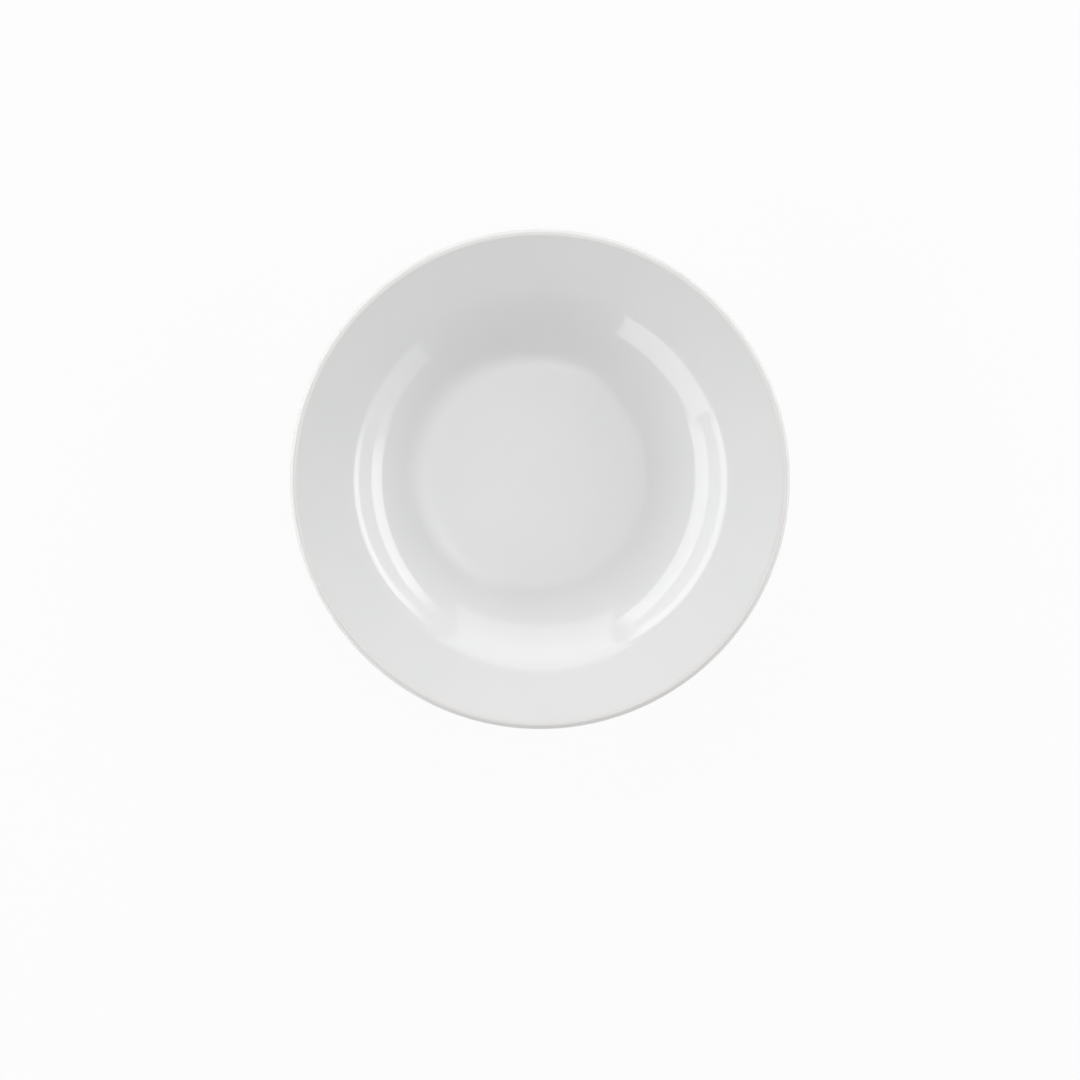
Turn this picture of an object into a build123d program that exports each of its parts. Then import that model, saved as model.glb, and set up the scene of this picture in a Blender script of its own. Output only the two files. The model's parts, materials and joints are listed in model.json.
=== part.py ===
from build123d import *

import os
from math import cos, dist, radians, sin, tan

# Rimmed soup plate in white glazed porcelain. Millimetres, +Z up, origin on the table
# at the centre of the foot ring's standing face.
#
# The plate is turned, so every piece starts as a section in the XZ plane, where a
# sketch's x is the radius and its y is the height, and is revolved about Z.
# The outline drawn first is the dipped plate, with glaze all over it. The fired body is
# that outline taken in by the glaze. What is left between the two is the glaze, in two
# coats, because it is wiped off the ring that the plate stands on.

# --- overall ---
plate_diameter = 230.0
plate_height = 39.5

# --- upper side ---
rim_width = 28.8  # level, from the edge in to where the rim would meet the well's wall
rim_slope = 26.8  # degrees above level
well_slope = 43.0  # degrees above level, the wall's inside
shoulder_radius = 21.0  # rounds the rim over into the well
cove_radius = 46.0  # rounds the wall into the floor
floor_rise = 2.2  # how far the dished floor climbs from its centre to the wall's line

# --- lip ---
lip_crown_radius = 2.3
lip_edge_flat = 0.6  # upright part left of the edge, between its two roundings
lip_band_width = 5.0  # the thicker roll under the edge
lip_band_slope = 12.0  # degrees above level
lip_band_blend = 6.0

# --- underside ---
rim_thickness = 3.5
wall_thickness = 3.7  # at the shoulder; the wall grows thicker towards the base
wall_slope = 44.5  # degrees above level, the wall's outside
base_thickness = 4.4
heel_slope = 25.0  # degrees above level, where the bowl runs into the foot
heel_lead = 0.75  # how far up that slope the heel's long curve begins
crease_radius = 2.5  # the hollow corner under the shoulder

# --- foot ring ---
foot_inset = 6.7  # from the corner of floor and wall in to the ring's outer edge
foot_face_width = 4.2
foot_height = 3.5
foot_outer_flare = 2.4
foot_inner_flare = 1.5
foot_edge_radius = 1.2
foot_root_radius = 1.5  # outside, where the ring meets the bowl
recess_root_radius = 1.0  # inside, where the ring meets the recess's ceiling
recess_depth = 2.3  # at the plate's centre
recess_dome = 0.5  # the ceiling is that much lower beside the foot ring

# --- glaze ---
glaze_thickness = 0.3
glaze_line = 1.0  # height at which the wiped foot ends and the glaze begins
glaze_edge_radius = 0.2

# --- places worked out from the sizes ---
plate_radius = plate_diameter / 2
well_radius = plate_radius - rim_width
dipped_base = -glaze_thickness  # the standing face before its glaze is wiped away


def below(point, slope, thickness):
    """The point a wall's thickness under a sloping face, square to it."""
    lean = radians(slope)
    return point[0] + thickness * sin(lean), point[1] - thickness * cos(lean)


def height_on(point, slope, radius):
    """The height at a radius of the straight line through a point."""
    return point[1] + (radius - point[0]) * tan(radians(slope))


def meet(point_a, slope_a, point_b, slope_b):
    """The corner where two straight lines cross, each given by a point and a slope."""
    rise_a = tan(radians(slope_a))
    rise_b = tan(radians(slope_b))
    gap = point_b[1] - height_on(point_a, slope_a, point_b[0])
    radius = point_b[0] + gap / (rise_a - rise_b)
    return radius, height_on(point_a, slope_a, radius)


def setback(turn):
    """How far from a corner its rounding begins, for a radius of 1."""
    return tan(radians(turn) / 2)


# --- corners of the outline, from the upper side to the foot ---
# The crown rounds off the lip's sharp corner, so that corner stands above the plate.
crown_loss = lip_crown_radius * (tan(radians(rim_slope)) + 1 / cos(radians(rim_slope)) - 1)
lip_corner = (plate_radius, plate_height + crown_loss)
shoulder_corner = (well_radius, height_on(lip_corner, rim_slope, well_radius))
floor_centre = (0.0, recess_depth + base_thickness)
cove_height = floor_centre[1] + floor_rise
cove_drop = shoulder_corner[1] - cove_height
cove_corner = (well_radius - cove_drop / tan(radians(well_slope)), cove_height)

rim_under = below(shoulder_corner, rim_slope, rim_thickness)
wall_under = below(shoulder_corner, wall_slope, wall_thickness)
band_radius = plate_radius - lip_band_width
band_corner = (band_radius, height_on(rim_under, rim_slope, band_radius))
lip_under_corner = (plate_radius, height_on(band_corner, lip_band_slope, plate_radius))
crease_corner = meet(rim_under, rim_slope, wall_under, wall_slope)

# The edge's lower rounding takes what its upper one leaves, down to the upright part.
lip_edge = lip_corner[1] - lip_under_corner[1]
lip_crown_setback = lip_crown_radius * setback(90 + rim_slope)
lip_under_radius = (lip_edge - lip_crown_setback - lip_edge_flat) / setback(90 - lip_band_slope)

foot_radius = cove_corner[0] - foot_inset
foot_top = (foot_radius + foot_outer_flare, foot_height)
heel_corner = meet(foot_top, heel_slope, wall_under, wall_slope)
heel_length = dist(foot_top, heel_corner)
heel_radius = (heel_length - heel_lead) / setback(wall_slope - heel_slope)
foot_outer_edge = (foot_radius, dipped_base)
foot_inner_edge = (foot_radius - foot_face_width, dipped_base)
recess_edge = (foot_inner_edge[0] - foot_inner_flare, recess_depth - recess_dome)
recess_centre = (0.0, recess_depth)

# --- section of the dipped plate, glaze included ---
with BuildSketch(Plane.XZ) as dipped_section:
    with BuildLine():
        TangentArc(recess_centre, recess_edge, tangent=(1, 0))
        Polyline(recess_edge, foot_inner_edge, foot_outer_edge, foot_top, heel_corner)
        Polyline(heel_corner, crease_corner, band_corner, lip_under_corner, lip_corner)
        Polyline(lip_corner, shoulder_corner, cove_corner)
        TangentArc(floor_centre, cove_corner, tangent=(1, 0))
        Line(floor_centre, recess_centre)
    make_face()
    for corner, radius in (
        (cove_corner, cove_radius),
        (shoulder_corner, shoulder_radius),
        (lip_corner, lip_crown_radius),
        (lip_under_corner, lip_under_radius),
        (band_corner, lip_band_blend),
        (crease_corner, crease_radius),
        (heel_corner, heel_radius),
        (foot_top, foot_root_radius),
        (foot_outer_edge, foot_edge_radius),
        (foot_inner_edge, foot_edge_radius),
        (recess_edge, recess_root_radius),
    ):
        fillet(dipped_section.vertices().sort_by_distance((*corner, 0))[0], radius)
    mirror(about=Plane.YZ)

# --- section of the fired body, which is bare on the ring that it stands on ---
with BuildSketch(Plane.XZ) as body_section:
    add(dipped_section.sketch)
    offset(amount=-glaze_thickness)
    split(bisect_by=Plane.YZ)

# --- sections of the glaze: the dipped plate less its body, wiped up to the glaze line ---
wiped_width = foot_top[0] - recess_edge[0]
wiped_height = glaze_line - dipped_base
with BuildSketch(Plane.XZ) as glaze_section:
    add(dipped_section.sketch)
    split(bisect_by=Plane.YZ)
    add(body_section.sketch, mode=Mode.SUBTRACT)
    with Locations((recess_edge[0], dipped_base)):
        Rectangle(wiped_width, wiped_height, align=Align.MIN, mode=Mode.SUBTRACT)
recess_glaze_face, outer_glaze_face = glaze_section.faces().sort_by(SortBy.AREA)

with BuildSketch(Plane.XZ) as outer_glaze_section:
    add(outer_glaze_face)
    fillet(outer_glaze_section.vertices().group_by(Axis.Y)[0].sort_by(Axis.X)[-1], glaze_edge_radius)

with BuildSketch(Plane.XZ) as recess_glaze_section:
    add(recess_glaze_face)
    fillet(recess_glaze_section.vertices().group_by(Axis.Y)[0].sort_by(Axis.X)[0], glaze_edge_radius)

# --- the fired body ---
with BuildPart() as porcelain_body:
    add(body_section.sketch)
    revolve(axis=Axis.Z)
porcelain_body.part.label = "porcelain_body"

# --- the coat of glaze over the upper side, the lip and the outside, down to the foot ---
with BuildPart() as outer_glaze:
    add(outer_glaze_section.sketch)
    revolve(axis=Axis.Z)
outer_glaze.part.label = "outer_glaze"

# --- the coat of glaze under the base, inside the foot ring ---
with BuildPart() as recess_glaze:
    add(recess_glaze_section.sketch)
    revolve(axis=Axis.Z)
recess_glaze.part.label = "recess_glaze"

pieces = (porcelain_body, outer_glaze, recess_glaze)

os.makedirs("parts", exist_ok=True)
for piece in pieces:
    export_step(piece.part, f"parts/{piece.part.label}.step")
    print(piece.part.label, round(piece.part.volume), "mm3", piece.part.is_valid, piece.part.bounding_box())
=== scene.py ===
# %% [markdown]
# # A rimmed soup plate in white glazed porcelain
#
# A plate like this is turned: soft clay spins under a shaped blade, so the whole plate is
# one outline carried round an axis. After the first firing it is dipped in glaze, the glaze
# is wiped off the ring that the plate stands on, and it is fired again.
#
# The lesson follows the same order. It draws the outline from real sizes, turns it with
# Geometry Nodes, gives the bare body and the glaze their finishes, and then sets the camera
# and the studio.

# %% Start from the fixed frame
import json
from math import asin, atan2, ceil, cos, hypot, pi, radians, sin, sqrt, tan

import bmesh
import bpy
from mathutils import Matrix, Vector

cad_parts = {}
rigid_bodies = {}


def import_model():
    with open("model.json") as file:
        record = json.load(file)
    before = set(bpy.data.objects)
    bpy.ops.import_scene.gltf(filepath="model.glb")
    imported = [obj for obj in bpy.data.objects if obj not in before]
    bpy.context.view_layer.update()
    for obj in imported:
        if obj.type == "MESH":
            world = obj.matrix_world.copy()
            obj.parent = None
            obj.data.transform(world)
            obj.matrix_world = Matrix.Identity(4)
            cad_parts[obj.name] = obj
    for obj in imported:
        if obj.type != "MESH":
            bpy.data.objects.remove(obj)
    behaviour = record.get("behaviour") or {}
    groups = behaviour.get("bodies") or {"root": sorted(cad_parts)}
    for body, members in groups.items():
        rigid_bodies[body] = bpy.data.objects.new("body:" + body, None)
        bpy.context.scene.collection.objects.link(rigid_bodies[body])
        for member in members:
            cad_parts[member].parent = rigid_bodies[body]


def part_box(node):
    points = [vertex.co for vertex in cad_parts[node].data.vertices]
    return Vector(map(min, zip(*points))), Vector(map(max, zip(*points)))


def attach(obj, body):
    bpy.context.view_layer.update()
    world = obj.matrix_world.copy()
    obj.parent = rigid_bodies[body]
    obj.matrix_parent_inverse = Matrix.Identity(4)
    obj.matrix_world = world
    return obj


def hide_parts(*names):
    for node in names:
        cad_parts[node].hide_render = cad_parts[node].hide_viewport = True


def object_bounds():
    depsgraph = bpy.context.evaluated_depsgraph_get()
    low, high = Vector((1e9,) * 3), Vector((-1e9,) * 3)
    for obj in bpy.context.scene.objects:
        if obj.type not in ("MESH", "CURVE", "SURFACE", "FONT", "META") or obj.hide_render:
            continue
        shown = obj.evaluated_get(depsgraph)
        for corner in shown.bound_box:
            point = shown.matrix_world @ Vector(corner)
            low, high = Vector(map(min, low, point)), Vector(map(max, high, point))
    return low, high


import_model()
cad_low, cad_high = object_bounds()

mm = 0.001
print("plate: %.1f mm across, %.1f mm high" % ((cad_high.x - cad_low.x) / mm, cad_high.z / mm))

# %% [markdown]
# ## The outline's sizes
#
# The plate's width and height come from the frame. The other sizes are those of the part
# itself: slopes in degrees above level, and the radius of every rounding. An outline of
# straight lines with rounded corners is how a plate is drawn for its mould, and it keeps
# each curve a true arc. Arcs matter here, because a gloss glaze mirrors the lamps, and a
# mirror shows every unsteady curve.

# %% Sizes of the plate
plate_radius = cad_high.x
plate_height = cad_high.z

rim_width = 28.8 * mm
rim_slope = radians(26.8)
well_slope = radians(43.0)
shoulder_radius = 21.0 * mm
cove_radius = 46.0 * mm
floor_rise = 2.2 * mm

lip_crown_radius = 2.3 * mm
lip_edge_flat = 0.6 * mm
lip_band_width = 5.0 * mm
lip_band_slope = radians(12.0)
lip_band_blend = 6.0 * mm

rim_thickness = 3.5 * mm
wall_thickness = 3.7 * mm
wall_slope = radians(44.5)
base_thickness = 4.4 * mm
heel_slope = radians(25.0)
heel_lead = 0.75 * mm
crease_radius = 2.5 * mm

foot_inset = 6.7 * mm
foot_face_width = 4.2 * mm
foot_height = 3.5 * mm
foot_outer_flare = 2.4 * mm
foot_inner_flare = 1.5 * mm
foot_edge_radius = 1.2 * mm
foot_root_radius = 1.5 * mm
recess_root_radius = 1.0 * mm
recess_depth = 2.3 * mm
recess_dome = 0.5 * mm

glaze_thickness = 0.3 * mm
glaze_line = 1.0 * mm

# %% [markdown]
# ## Drawing the outline
#
# Every point of the outline is kept with its outward normal. Moving each point in along its
# normal by the glaze's thickness then gives the bare body's outline exactly, so the dipped
# plate and the body under the glaze come from one drawing.
#
# The outline runs the way that a hand would follow it: out along the underside, round the
# lip and back over the rim to the middle. On that path a rounding that turns left is full,
# and one that turns right is hollow.

# %% Arcs and rounded corners
tight_step = radians(5)
long_step = 1.2 * mm


def bend(centre, radius, start, end):
    """An arc as (point, outward normal) pairs; a negative radius makes it hollow."""
    turn = end - start
    steps = ceil(max(abs(turn) / tight_step, abs(turn * radius) / long_step))
    normals = [start + turn * i / steps for i in range(steps + 1)]
    normals = [Vector((cos(angle), sin(angle))) for angle in normals]
    return [(centre + radius * normal, normal) for normal in normals]


def rounded(corners):
    """The bends at the inner corners of a path of (radius, height, rounding) corners."""
    bends = []
    for before, corner, after in zip(corners, corners[1:], corners[2:]):
        here = Vector(corner[:2])
        ahead_in = (here - Vector(before[:2])).normalized()
        ahead_out = (Vector(after[:2]) - here).normalized()
        turn = atan2(ahead_in.x * ahead_out.y - ahead_in.y * ahead_out.x, ahead_in.dot(ahead_out))
        radius = corner[2] if turn > 0 else -corner[2]
        normal_in = Vector((ahead_in.y, -ahead_in.x))
        start = here - ahead_in * abs(radius) * tan(abs(turn) / 2)
        angle = atan2(normal_in.y, normal_in.x)
        bends.append(bend(start - radius * normal_in, radius, angle, angle + turn))
    return bends


quarter = bend(Vector((0, 0)), 10 * mm, 0, pi / 2)
print("a quarter turn of 10 mm radius takes %d points" % len(quarter))

# %% The corners, worked out from the sizes


def height_on(point, slope, radius):
    """The height at a radius of the straight line through a point."""
    return point[1] + (radius - point[0]) * tan(slope)


def meet(point_a, slope_a, point_b, slope_b):
    """The corner where two straight lines cross."""
    gap = point_b[1] - height_on(point_a, slope_a, point_b[0])
    radius = point_b[0] + gap / (tan(slope_a) - tan(slope_b))
    return radius, height_on(point_a, slope_a, radius)


def below(point, slope, thickness):
    """The point of a sloping underside that is a thickness from a corner, square to it."""
    return point[0] + thickness * sin(slope), point[1] - thickness * cos(slope)


crown_loss = lip_crown_radius * (tan(rim_slope) + 1 / cos(rim_slope) - 1)
lip = (plate_radius, plate_height + crown_loss)
well_radius = plate_radius - rim_width
shoulder = (well_radius, height_on(lip, rim_slope, well_radius))
floor_centre = recess_depth + base_thickness
cove_height = floor_centre + floor_rise
cove = (well_radius - (shoulder[1] - cove_height) / tan(well_slope), cove_height)

rim_under = below(shoulder, rim_slope, rim_thickness)
wall_under = below(shoulder, wall_slope, wall_thickness)
band_radius = plate_radius - lip_band_width
band = (band_radius, height_on(rim_under, rim_slope, band_radius))
lip_under = (plate_radius, height_on(band, lip_band_slope, plate_radius))
crease = meet(rim_under, rim_slope, wall_under, wall_slope)
edge_left = lip[1] - lip_under[1] - lip_crown_radius * tan(pi / 4 + rim_slope / 2) - lip_edge_flat
lip_under_radius = edge_left / tan(pi / 4 - lip_band_slope / 2)

foot_radius = cove[0] - foot_inset
foot_top = (foot_radius + foot_outer_flare, foot_height)
heel = meet(foot_top, heel_slope, wall_under, wall_slope)
heel_run = hypot(heel[0] - foot_top[0], heel[1] - foot_top[1]) - heel_lead
heel_radius = heel_run / tan((wall_slope - heel_slope) / 2)
foot_outer = (foot_radius, -glaze_thickness)
foot_inner = (foot_radius - foot_face_width, -glaze_thickness)
recess_edge = (foot_inner[0] - foot_inner_flare, recess_depth - recess_dome)
for name, corner in (("shoulder", shoulder), ("cove", cove), ("heel", heel)):
    print("%s corner: %.1f mm out, %.1f mm up" % (name, corner[0] / mm, corner[1] / mm))

# %% [markdown]
# ## The dished floor and the cove
#
# The floor of the well isn't flat. It is a very shallow dish, so that the plate's middle is
# its lowest point. The wide cove between floor and wall is the curve that shows most in this
# plate: it is where the light bends. It has to touch both the dish and the straight wall, so
# its centre is worked out from the two: a cove's radius away from the wall's line, and on a
# circle that much smaller than the dish's.

# %% The curves of the floor and of the recess under it
dish_radius = (cove[0] ** 2 + floor_rise ** 2) / (2 * floor_rise)
dish_centre = Vector((0, floor_centre + dish_radius))
wall_normal = Vector((-sin(well_slope), cos(well_slope)))
wall_down = Vector((-cos(well_slope), -sin(well_slope)))
from_dish = Vector(shoulder) + cove_radius * wall_normal - dish_centre
along = from_dish.dot(wall_down)
reach = from_dish.dot(from_dish) - (dish_radius - cove_radius) ** 2
cove_centre = from_dish + dish_centre + (-along + sqrt(along ** 2 - reach)) * wall_down
touch = dish_centre - cove_centre
touch_angle = atan2(touch.y, touch.x)
cove_bend = bend(cove_centre, -cove_radius, pi / 2 + well_slope, touch_angle)
floor_bend = bend(dish_centre, -dish_radius, touch_angle, pi / 2)

recess_radius = (recess_edge[0] ** 2 + recess_dome ** 2) / (2 * recess_dome)
recess_centre = Vector((0, recess_depth - recess_radius))
recess_slope = 2 * atan2(recess_dome, recess_edge[0])
by_recess_edge = (
    recess_edge[0] - mm * cos(recess_slope),
    recess_edge[1] + mm * sin(recess_slope),
)
print("cove runs from %.1f to %.1f mm out" % (cove_bend[-1][0].x / mm, cove_bend[0][0].x / mm))

# %% [markdown]
# ## Three sections from one outline
#
# A section here is a line that starts on the axis, goes round the material and comes back to
# the axis, so that turning it closes the piece. The body is the outline moved in by the
# glaze. Each coat of glaze runs along the glazed surface, round its own edge and back along
# the body.
#
# Glaze doesn't end in a sharp step. Where it has been wiped off the foot it melts into a
# rounded edge, a little thicker than the rest. The edge is part of the section, so it is
# there in the shape and not only in the shading.

# %% The body's section
straight_step = 2.5 * mm
shortest_run = 0.01 * mm


def joined(bends, inset=0.0):
    """The points along a row of bends, moved in by inset, with straight runs divided."""
    points = []
    for arc in bends:
        moved = [point - inset * normal for point, normal in arc]
        if points:
            start = points[-1]
            run = moved[0] - start
            parts = ceil(run.length / straight_step)
            points += [start + run * i / parts for i in range(1, parts)]
            if run.length < shortest_run:
                points.pop()
        points += moved
    return points


bends = rounded([
    by_recess_edge, (*recess_edge, recess_root_radius), (*foot_inner, foot_edge_radius),
    (*foot_outer, foot_edge_radius), (*foot_top, foot_root_radius), (*heel, heel_radius),
    (*crease, crease_radius), (*band, lip_band_blend), (*lip_under, lip_under_radius),
    (*lip, lip_crown_radius), (*shoulder, shoulder_radius), cove,
])
recess_reach = asin(bends[0][0][0].x / recess_radius)
recess_side = [bend(recess_centre, -recess_radius, -pi / 2, -pi / 2 - recess_reach), bends[0]]
foot_ring = bends[1:3]
upper_side = bends[3:] + [cove_bend, floor_bend]
body_section = joined(recess_side + foot_ring + upper_side, glaze_thickness)
print("body section: %d points" % len(body_section))

# %% The two coats of glaze
edge_width = 0.35 * mm
bead_height = 0.05 * mm
bead_width = 1.6 * mm
edge_points = 14


def glaze_edge(bare, glazed_end, normal):
    """Points from the bare surface up to full glaze, towards where the next bend begins."""
    run = glazed_end - bare
    room = min(bead_width, run.length)
    points = []
    for i in range(edge_points):
        along = room * (i / edge_points) ** 2
        ramp = 1 - min(along / edge_width, 1)
        bead = bead_height * sin(pi * along / room) ** 2
        thickness = glaze_thickness * sqrt(1 - ramp ** 2) + bead
        points.append(bare + run.normalized() * along + normal * thickness)
    return points


def bare_point(lower, bend_end):
    """Where the bare face between two bends crosses the glaze line."""
    share = (glaze_line - lower.y) / (bend_end.y - lower.y)
    return lower.lerp(bend_end, share)


def inset_point(pair):
    """A point of a bend, moved in to the body's surface."""
    return pair[0] - glaze_thickness * pair[1]


outer_end = inset_point(upper_side[0][0])
outer_bare = bare_point(inset_point(foot_ring[1][-1]), outer_end)
outer_edge = glaze_edge(outer_bare, outer_end, upper_side[0][0][1])
outer_body = joined(upper_side, glaze_thickness)[::-1]
outer_section = outer_body + outer_edge + joined(upper_side)

recess_end = inset_point(recess_side[1][-1])
recess_bare = bare_point(inset_point(foot_ring[0][0]), recess_end)
recess_edge_points = glaze_edge(recess_bare, recess_end, recess_side[1][-1][1])[::-1]
recess_body = joined(recess_side, glaze_thickness)[::-1]
recess_section = joined(recess_side) + recess_edge_points + recess_body
print("outer coat: %d points, recess coat: %d points" % (len(outer_section), len(recess_section)))

# %% [markdown]
# ## Nodes written as plain code
#
# The wheel below is a Geometry Nodes tree and the finishes are shader trees. Both are easier
# to read as expressions than as wires, so one small class adds a node to any tree, and
# another wraps a number's socket so that Python's own + - * / add the Math nodes.

# %% A tree that takes nodes, and a number that can be calculated with


class Number:
    """A number in a node tree. Arithmetic on it adds Math nodes."""

    def __init__(self, tree, socket):
        self.tree = tree
        self.socket = socket

    def maths(self, operation, *values):
        node = self.tree.add("ShaderNodeMath", {"operation": operation}, dict(enumerate(values)))
        return Number(self.tree, node.outputs[0])

    def sine(self):
        return self.maths("SINE", self)

    def either(self, other):
        return self.maths("MAXIMUM", self, other)

    def __add__(self, other):
        return self.maths("ADD", self, other)

    def __sub__(self, other):
        return self.maths("SUBTRACT", self, other)

    def __rsub__(self, other):
        return self.maths("SUBTRACT", other, self)

    def __mul__(self, other):
        return self.maths("MULTIPLY", self, other)

    def __truediv__(self, other):
        return self.maths("DIVIDE", self, other)

    def __pow__(self, other):
        return self.maths("POWER", self, other)

    __radd__ = __add__
    __rmul__ = __mul__

    def rise(self, low, high):
        """0 below low, 1 above high, and a smooth slope between them."""
        values = {"Value": self, "From Min": low, "From Max": high}
        node = self.tree.add("ShaderNodeMapRange", {"interpolation_type": "SMOOTHSTEP"}, values)
        return Number(self.tree, node.outputs["Result"])


class Tree:
    """A node tree of any kind, with one way to add a node."""

    def __init__(self, tree):
        self.tree = tree

    def plug(self, node, name, value):
        """Give one of a node's sockets a value, or link something to it."""
        named = [socket for socket in node.inputs if socket.enabled and socket.name == name]
        socket = named[0] if named else node.inputs[name]
        if isinstance(value, Number):
            value = value.socket
        if isinstance(value, bpy.types.NodeSocket):
            self.tree.links.new(value, socket)
        else:
            socket.default_value = value

    def add(self, kind, settings=None, values=None):
        """A node of a kind, with its settings first and then its sockets' values or links."""
        node = self.tree.nodes.new(kind)
        for name, setting in (settings or {}).items():
            setattr(node, name, setting)
        for name, value in (values or {}).items():
            self.plug(node, name, value)
        return node

    def number(self, socket):
        return Number(self, socket)


print("helpers ready")

# %% [markdown]
# ## The potter's wheel
#
# Turning is a rule, so Geometry Nodes does it: *Curve to Mesh* carries a section round a
# circle. The circle is the axle. It can't have a radius of nothing, because the section
# needs a direction to face, so the axle is a tenth of a millimetre and the sections are drawn
# that much nearer to it. *Merge by Distance* then closes the middle to one point.
#
# No fired plate is as true as its drawing: in the kiln it sags a few hundredths of a
# millimetre between the places where the foot holds it up. The wheel adds that as slow
# waves, nothing at the foot and more above it. They are too small to see as shape, but they
# make a mirrored lamp swim a little, as it does on a real glaze.

# %% Build the wheel
axle = 0.1 * mm
merge_distance = 0.001 * mm


def build_wheel():
    """A Geometry Nodes tree that turns a section, lets it sag and gives it a finish."""
    wheel = bpy.data.node_groups.new("potters_wheel", "GeometryNodeTree")
    face = wheel.interface
    for name, kind in (
        ("Section", "NodeSocketGeometry"), ("Steps", "NodeSocketInt"),
        ("Axle", "NodeSocketFloat"), ("Sag", "NodeSocketFloat"),
        ("Waves per metre", "NodeSocketFloat"), ("Seed", "NodeSocketFloat"),
        ("Held below", "NodeSocketFloat"), ("Free above", "NodeSocketFloat"),
        ("Finish", "NodeSocketMaterial"),
    ):
        face.new_socket(name, in_out="INPUT", socket_type=kind)
    face.new_socket("Piece", in_out="OUTPUT", socket_type="NodeSocketGeometry")

    tree = Tree(wheel)
    given = tree.add("NodeGroupInput").outputs
    section = tree.add("GeometryNodeMeshToCurve", {}, {"Mesh": given["Section"]}).outputs[0]
    circle = tree.add("GeometryNodeCurvePrimitiveCircle", {"mode": "RADIUS"},
                      {"Resolution": given["Steps"], "Radius": given["Axle"]}).outputs["Curve"]
    turned = tree.add("GeometryNodeCurveToMesh", {}, {"Curve": circle, "Profile Curve": section})
    closed = tree.add("GeometryNodeMergeByDistance", {},
                      {"Geometry": turned.outputs[0], "Distance": merge_distance}).outputs[0]

    place = tree.add("GeometryNodeInputPosition").outputs[0]
    height = tree.number(tree.add("ShaderNodeSeparateXYZ", {}, {0: place}).outputs["Z"])
    waves = tree.add("ShaderNodeTexNoise", {"noise_dimensions": "4D"},
                     {"Vector": place, "W": given["Seed"], "Scale": given["Waves per metre"],
                      "Detail": 1.0})
    free = height.rise(given["Held below"], given["Free above"])
    drop = tree.number(waves.outputs[0]) * free * tree.number(given["Sag"])
    offset = tree.add("ShaderNodeCombineXYZ", {}, {"Z": 0 - drop}).outputs[0]
    sagged = tree.add("GeometryNodeSetPosition", {}, {"Geometry": closed, "Offset": offset})

    smooth = tree.add("GeometryNodeSetShadeSmooth", {}, {"Geometry": sagged.outputs[0]})
    real = tree.add("GeometryNodeRealizeInstances", {}, {"Geometry": smooth.outputs[0]})
    dressed = tree.add("GeometryNodeSetMaterial", {},
                       {"Geometry": real.outputs[0], "Material": given["Finish"]})
    tree.add("NodeGroupOutput", {}, {0: dressed.outputs[0]})
    return wheel


wheel = build_wheel()
print("the wheel has %d nodes" % len(wheel.nodes))

# %% [markdown]
# ## Two finishes
#
# Porcelain has only two surfaces. The glaze is a clear glass skin over a white body, so it
# is one Principled surface: a white that scatters, under a sharp mirror. The mirror is what
# makes it read as glazed, so most of the detail is in the roughness and in the bump: a slow
# ripple where the glaze ran, and a fine skin like orange peel.
#
# The white isn't quite even either. In broad clouds it is a touch cooler, and where it is
# drawn thin over the lip the warmer body shows through. A few pale specks of iron come up
# through it. All of this is fainter than a camera shows at arm's length, but without it a
# close view is plain paint.

# %% A finish's tree


class Finish(Tree):
    """A material's tree, which knows the surface's place on the plate."""

    def __init__(self, name):
        self.material = bpy.data.materials.new(name)
        self.material.use_nodes = True
        super().__init__(self.material.node_tree)
        self.surface = self.tree.nodes["Principled BSDF"]
        self.place = self.add("ShaderNodeTexCoord").outputs["Object"]
        split = self.add("ShaderNodeSeparateXYZ", {}, {0: self.place})
        east, north, self.height = [self.number(socket) for socket in split.outputs]
        self.radius = (east * east + north * north) ** 0.5

    def noise(self, size, detail=2.0, seed=0.0):
        """Noise from 0 to 1, with blobs of about the given size."""
        values = {"Vector": self.place, "Scale": 1 / size, "Detail": detail, "W": seed}
        node = self.add("ShaderNodeTexNoise", {"noise_dimensions": "4D"}, values)
        return self.number(node.outputs[0])

    def tint(self, mask, colour_a, colour_b):
        """colour_a where the mask is 0, and colour_b where it is 1."""
        values = {"Factor": mask, "A": colour_a, "B": colour_b}
        node = self.add("ShaderNodeMix", {"data_type": "RGBA"}, values)
        return [socket for socket in node.outputs if socket.enabled][0]

    def bump(self, height):
        """A normal from a height in metres."""
        node = self.add("ShaderNodeBump", {}, {"Height": height, "Distance": 1.0, "Strength": 1.0})
        return node.outputs["Normal"]

    def coat(self, **values):
        """Set or link the surface's own sockets."""
        for name, value in values.items():
            self.plug(self.surface, name.replace("_", " "), value)


print("finishes can be mixed")

# %% The glaze's colour
cool_white = (0.793, 0.796, 0.800, 1)
plain_white = (0.806, 0.805, 0.803, 1)
warm_white = (0.802, 0.788, 0.762, 1)
iron_brown = (0.62, 0.56, 0.47, 1)
cloud_size = 28 * mm
lip_begins, lip_ends = 38.3 * mm, 39.4 * mm
speck_spacing = 4 * mm

glaze = Finish("porcelain_glaze")
clouds = glaze.noise(cloud_size, 1.0, seed=3.0).rise(0.3, 0.7)
even_white = glaze.tint(clouds, cool_white, plain_white)
thin_over_lip = glaze.height.rise(lip_begins, lip_ends) * 0.6
white = glaze.tint(thin_over_lip, even_white, warm_white)

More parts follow.
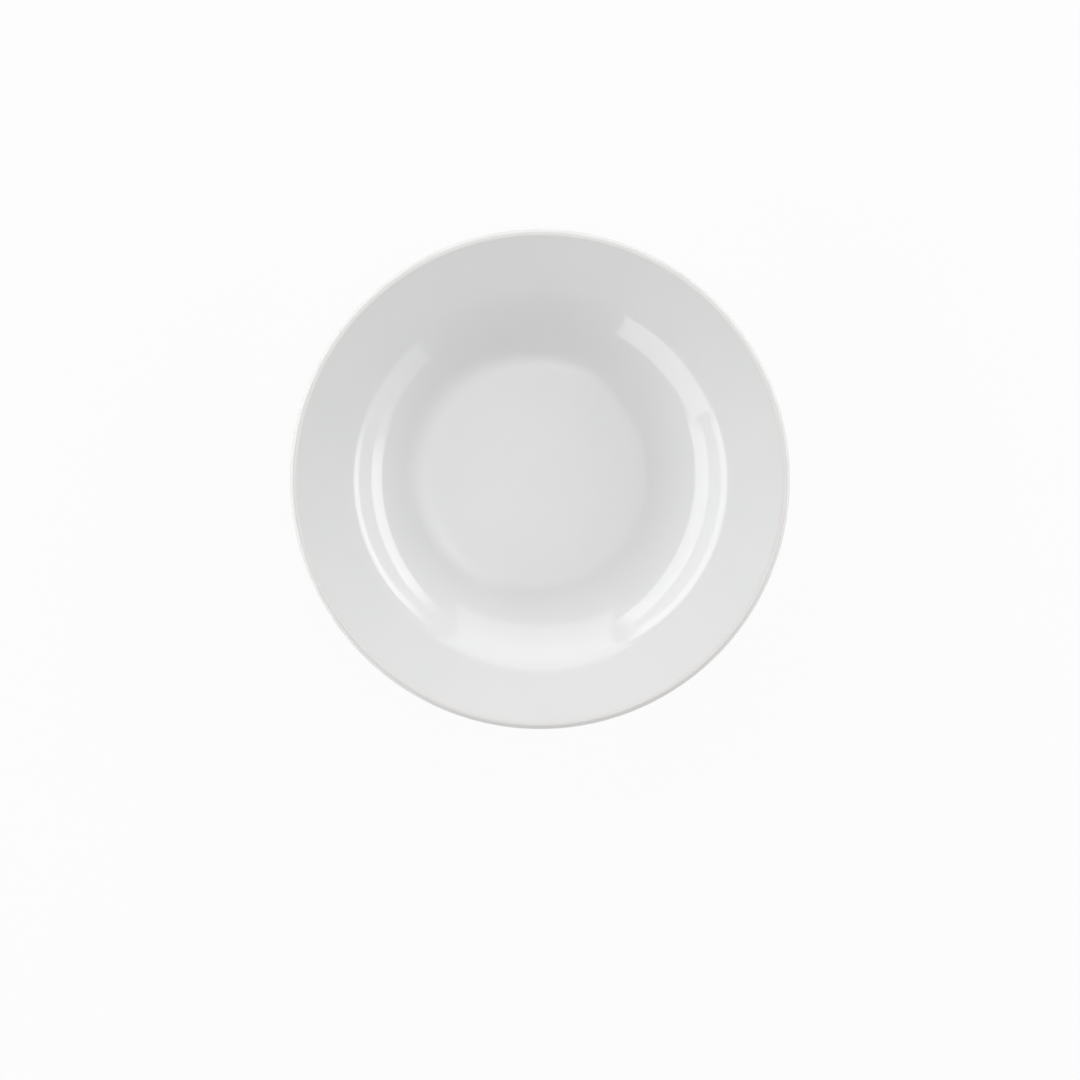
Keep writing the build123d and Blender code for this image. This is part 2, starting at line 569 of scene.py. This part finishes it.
# Every cell has a random colour, so its red alone can choose the one cell in five with a speck.
values = {"Vector": glaze.place, "Scale": 1 / speck_spacing}
cells = glaze.add("ShaderNodeTexVoronoi", {}, values)
near_speck = 1 - glaze.number(cells.outputs["Distance"]).rise(0.02, 0.06)
cell_colour = glaze.add("ShaderNodeSeparateColor", {}, {0: cells.outputs["Color"]})
chosen = glaze.number(cell_colour.outputs["Red"]).rise(0.80, 0.82)
specks = near_speck * chosen * 0.5
glaze.coat(Base_Color=glaze.tint(specks, white, iron_brown))
print("glaze colour: %d nodes" % len(glaze.tree.nodes))

# %% The glaze's gloss and its skin
haze_size = 14 * mm
ripple_size, ripple_height = 10 * mm, 0.016 * mm
peel_size, peel_height = 1.3 * mm, 0.0012 * mm
base_ends, bowl_begins = 2.6 * mm, 4.0 * mm
ring_spacing, ring_height = 3.2 * mm, 0.006 * mm

haze = glaze.noise(haze_size, 2.0, seed=5.0)
glaze.coat(Roughness=0.045 + 0.035 * haze, IOR=1.5)

ripple = glaze.noise(ripple_size, 1.0, seed=7.0) * ripple_height
orange_peel = glaze.noise(peel_size, 1.0, seed=9.0) * peel_height
under_base = 1 - glaze.height.rise(base_ends, bowl_begins)
turning_rings = (glaze.radius * (2 * pi / ring_spacing)).sine() * under_base * ring_height
glaze.coat(Normal=glaze.bump(ripple + orange_peel + turning_rings))
print("glaze: %d nodes" % len(glaze.tree.nodes))

# %% [markdown]
# ## The bare foot
#
# The ring that the plate stands on has no glaze, or it would stick to the kiln's shelf. There
# the fired body shows: a warmer, matt white with a fine grain, ringed by the turning tool.
# The face itself is rubbed smooth on the shelf and on every table since, and a little grey
# comes off on it.

# %% The fired body
dark_clay = (0.765, 0.750, 0.718, 1)
pale_clay = (0.812, 0.800, 0.775, 1)
shelf_grey = (0.66, 0.65, 0.63, 1)
grain_size, grain_height = 0.35 * mm, 0.008 * mm
smudge_size = 9 * mm
face_begins, face_ends = 0.02 * mm, 0.25 * mm
tool_spacing, tool_height = 0.45 * mm, 0.0018 * mm

biscuit = Finish("fired_body")
grain = biscuit.noise(grain_size, 3.0, seed=11.0)
smudges = biscuit.noise(smudge_size, 3.0, seed=13.0).rise(0.42, 0.70)
standing_face = 1 - biscuit.height.rise(face_begins, face_ends)
clay = biscuit.tint(grain, dark_clay, pale_clay)
rubbed = biscuit.tint(standing_face * (0.25 + 0.6 * smudges), clay, shelf_grey)
biscuit.coat(Base_Color=rubbed, Roughness=0.68 - 0.2 * standing_face * (1 - 0.5 * grain))
tool_rings = (biscuit.radius * (2 * pi / tool_spacing)).sine() * (1 - 0.7 * standing_face)
biscuit.coat(Normal=biscuit.bump(grain * grain_height + tool_rings * tool_height))
print("bare body: %d nodes" % len(biscuit.tree.nodes))

# %% [markdown]
# ## Throwing the three pieces
#
# Each section becomes a small mesh of edges, the wheel turns it, and the result is baked to a
# plain mesh, so that nothing depends on the node tree afterwards. A closed piece that isn't
# inside out has a positive volume, and no edge with fewer or more than two faces.

# %% Turn, bake and check
wheel_steps = 256
sag = 0.05 * mm
waves_per_metre = 28.0
sag_seed = 4.0
held_below, free_above = 4 * mm, 20 * mm


def throw(name, section, finish):
    """Turn a section on the wheel and bake it to a plain mesh."""
    drawing = bpy.data.meshes.new(name)
    places = [(point.x - axle, -point.y, 0) for point in reversed(section)]
    drawing.from_pydata(places, [(i, i + 1) for i in range(len(places) - 1)], [])
    piece = bpy.data.objects.new(name, drawing)
    bpy.context.scene.collection.objects.link(piece)

    turning = piece.modifiers.new("wheel", "NODES")
    turning.node_group = wheel
    labels = {item.name: item.identifier for item in wheel.interface.items_tree}
    for label, value in (
        ("Steps", wheel_steps), ("Axle", axle), ("Sag", sag), ("Waves per metre", waves_per_metre),
        ("Seed", sag_seed), ("Held below", held_below), ("Free above", free_above),
        ("Finish", finish),
    ):
        turning[labels[label]] = value
    evaluated = piece.evaluated_get(bpy.context.evaluated_depsgraph_get())
    baked = bpy.data.meshes.new_from_object(evaluated)
    piece.modifiers.remove(turning)
    piece.data = baked
    baked.name = name

    solid = bmesh.new()
    solid.from_mesh(baked)
    open_edges = sum(len(edge.link_faces) != 2 for edge in solid.edges)
    volume = solid.calc_volume(signed=True) / mm ** 3
    triangles = sum(len(face.verts) - 2 for face in solid.faces)
    solid.free()
    print("%s: %.0f cubic mm, %d open edges, %d triangles" % (name, volume, open_edges, triangles))
    return piece


body = throw("fired_body", body_section, biscuit.material)
outer_coat = throw("glaze_coat", outer_section, glaze.material)
recess_coat = throw("glaze_in_recess", recess_section, glaze.material)

# %% Stand in for the frame's nodes
for piece, node, slot in (
    (body, "porcelain_body", "fired_body"),
    (outer_coat, "outer_glaze", "glaze"),
    (recess_coat, "recess_glaze", "glaze"),
):
    low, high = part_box(node)
    heights = [vertex.co.z for vertex in piece.data.vertices]
    widths = [vertex.co.x for vertex in piece.data.vertices]
    print("%s: out to %.2f of %.2f, from %.2f to %.2f of %.2f to %.2f mm" % (
        piece.name, max(widths) / mm, high.x / mm, min(heights) / mm, max(heights) / mm,
        low.z / mm, high.z / mm))
    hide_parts(node)
    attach(piece, "root")

# %% [markdown]
# ## The camera
#
# The plate is photographed from straight above, a little over a metre away. The plate's
# middle stands above the middle of the picture, and since the view is exactly square to the
# table, the lens is shifted rather than tilted.

# %% Set up the camera
picture = 1080  # pixels, wide and high
plate_in_picture = 250.0  # pixels from the plate's middle to its edge
middle_row = 479
camera_height = 1.25
outline_height = 0.037  # of the lip's widest circle, which is what the camera sees as the edge
sensor_width = 36  # millimetres, as the lens is

focal_pixels = plate_in_picture / plate_radius * (camera_height - outline_height)
camera_data = bpy.data.cameras.new("camera")
camera_data.sensor_width = sensor_width
camera_data.lens = focal_pixels * sensor_width / picture
camera_data.shift_y = (middle_row - picture / 2) / picture
camera = bpy.data.objects.new("camera", camera_data)
camera.location = (0, 0, camera_height)
bpy.context.scene.collection.objects.link(camera)
bpy.context.scene.camera = camera
bpy.context.scene.view_settings.view_transform = "Standard"
print("lens %.1f mm, shift %.4f" % (camera_data.lens, camera_data.shift_y))

# %% [markdown]
# ## The table and the white around it
#
# The studio is white on white. The world is plain white for the camera and for reflections,
# and dimmer for the light it gives. The table is a pale matt sheet that the camera sees
# mostly as that same white, so the plate stands on white and still has its shadow.

# %% The world
ambient = 0.33  # share of white that the room throws on the plate


def seen_directly(tree):
    """1 for what the camera sees, straight, in a mirror or through glass, and 0 for other light."""
    path = tree.add("ShaderNodeLightPath").outputs
    straight = tree.number(path["Is Camera Ray"])
    mirrored = tree.number(path["Is Glossy Ray"])
    return straight.either(mirrored).either(tree.number(path["Is Transmission Ray"]))


world = bpy.data.worlds.new("studio")
world.use_nodes = True
bpy.context.scene.world = world
sky = Tree(world.node_tree)
background = world.node_tree.nodes["Background"]
sky.plug(background, "Strength", ambient + (1 - ambient) * seen_directly(sky))
sky.plug(background, "Color", (1, 1, 1, 1))
print("world: %d nodes" % len(world.node_tree.nodes))

# %% The table
half = 3.0
seen_as_white = 0.92  # the rest is the paper as it is lit, with the plate's shadow
paper_white = (0.82, 0.82, 0.82, 1)

corners = [(-half, -half, 0), (half, -half, 0), (half, half, 0), (-half, half, 0)]
table_data = bpy.data.meshes.new("table")
table_data.from_pydata(corners, [], [(0, 1, 2, 3)])
table = bpy.data.objects.new("table", table_data)
bpy.context.scene.collection.objects.link(table)

paper_material = bpy.data.materials.new("white_table")
paper_material.use_nodes = True
paper = Tree(paper_material.node_tree)
matt = paper_material.node_tree.nodes["Principled BSDF"]
paper.plug(matt, "Base Color", paper_white)
paper.plug(matt, "Roughness", 0.9)
paper.plug(matt, "Specular IOR Level", 0.0)
white_light = paper.add("ShaderNodeEmission", {}, {"Color": (1, 1, 1, 1), "Strength": 1.0})
mixed = paper.add("ShaderNodeMixShader", {}, {0: seen_as_white * seen_directly(paper)})
paper.tree.links.new(matt.outputs[0], mixed.inputs[1])
paper.tree.links.new(white_light.outputs[0], mixed.inputs[2])
output = paper_material.node_tree.nodes["Material Output"]
paper.tree.links.new(mixed.outputs[0], output.inputs["Surface"])
table_data.materials.append(paper_material)
print("table: %.0f m square" % (2 * half))

# %% [markdown]
# ## The lamps
#
# A plate is lit so that its curves show. A long strip box stands low on each side. The floor
# and the rim don't mirror the strips to the camera, but the steeper wall and the rounded
# shoulder do, and that gives the two bright crescents in the well. Under each strip is a
# fainter one, for the light that a white table throws back. A large box behind fills the far
# side, two small ones stand in front, and a box overhead gives the plate most of its light.
# The overhead box and the strips fade out towards their edges, or the glaze would show where
# they end.

# %% A lamp, and how its face fades
aim_height = 0.02


def lamp(name, azimuth, elevation, distance, width, height, brightness, slide=0.0):
    """A soft box facing the plate; azimuth 0 is right, 90 behind, and slide moves it sideways."""
    data = bpy.data.lights.new(name, "AREA")
    data.shape = "RECTANGLE"
    data.size = width
    data.size_y = height
    data.energy = brightness * pi * width * height
    holder = bpy.data.objects.new(name, data)
    turn, tilt = radians(azimuth), radians(elevation)
    away = Vector((cos(turn) * cos(tilt), sin(turn) * cos(tilt), sin(tilt)))
    sideways = Vector((-sin(turn), cos(turn), 0))
    holder.location = Vector((0, 0, aim_height)) + away * distance + sideways * slide
    holder.rotation_euler = away.to_track_quat("Z", "Y").to_euler()
    holder.visible_camera = False
    bpy.context.scene.collection.objects.link(holder)
    return holder


def fade(holder, low, high, side):
    """Let a lamp's face fade out over shares of its width and height, so it has no edge."""
    holder.data.use_nodes = True
    face = Tree(holder.data.node_tree)
    across = face.add("ShaderNodeNewGeometry").outputs["Parametric"]
    split = face.add("ShaderNodeSeparateXYZ", {}, {0: across}).outputs
    east, north = face.number(split["X"]), face.number(split["Y"])
    strength = east.rise(0, side) * (1 - east.rise(1 - side, 1))
    strength = strength * north.rise(0, low) * (1 - north.rise(1 - high, 1))
    face.plug(holder.data.node_tree.nodes["Emission"], "Strength", strength)


print("lamps aim %.0f mm above the table" % (aim_height / mm))

# %% Hang the lamps
# Degrees, degrees, then metres for distance, width and height; brightness 1 is white.
right_strip = lamp("right_strip", 6, 19, 1.3, 2.15, 0.354, 4.0, slide=0.285)
lamp("right_low", 6, 6.2, 1.3, 1.98, 0.2, 0.6, slide=0.36)
left_strip = lamp("left_strip", 165, 21.4, 1.3, 2.45, 0.468, 3.0, slide=-0.16)
lamp("left_low", 165, 6.2, 1.3, 2.28, 0.2, 0.9, slide=-0.16)
lamp("back", 88, 20, 1.5, 1.5, 1.2, 1.3)
lamp("front_left", 222, 12, 1.4, 1.0, 0.45, 2.2)
lamp("front_right", 326, 12, 1.4, 0.7, 0.45, 1.0)
overhead = lamp("overhead", 330, 71.4, 1.5, 1.3, 1.2, 2.8)
fade(right_strip, low=0.01, high=0.01, side=0.3)
fade(left_strip, low=0.01, high=0.01, side=0.15)
fade(overhead, low=0.8, high=0.14, side=0.4)
print("%d lamps" % len(bpy.data.lights))

# %% [markdown]
# ## Sizes, and the end
#
# The plate's size comes from the frame, and the frame's box is printed, in millimetres.

# %% Print the frame's box and finish
print("CAD box %.2f x %.2f x %.2f mm" % tuple((cad_high - cad_low) / mm))
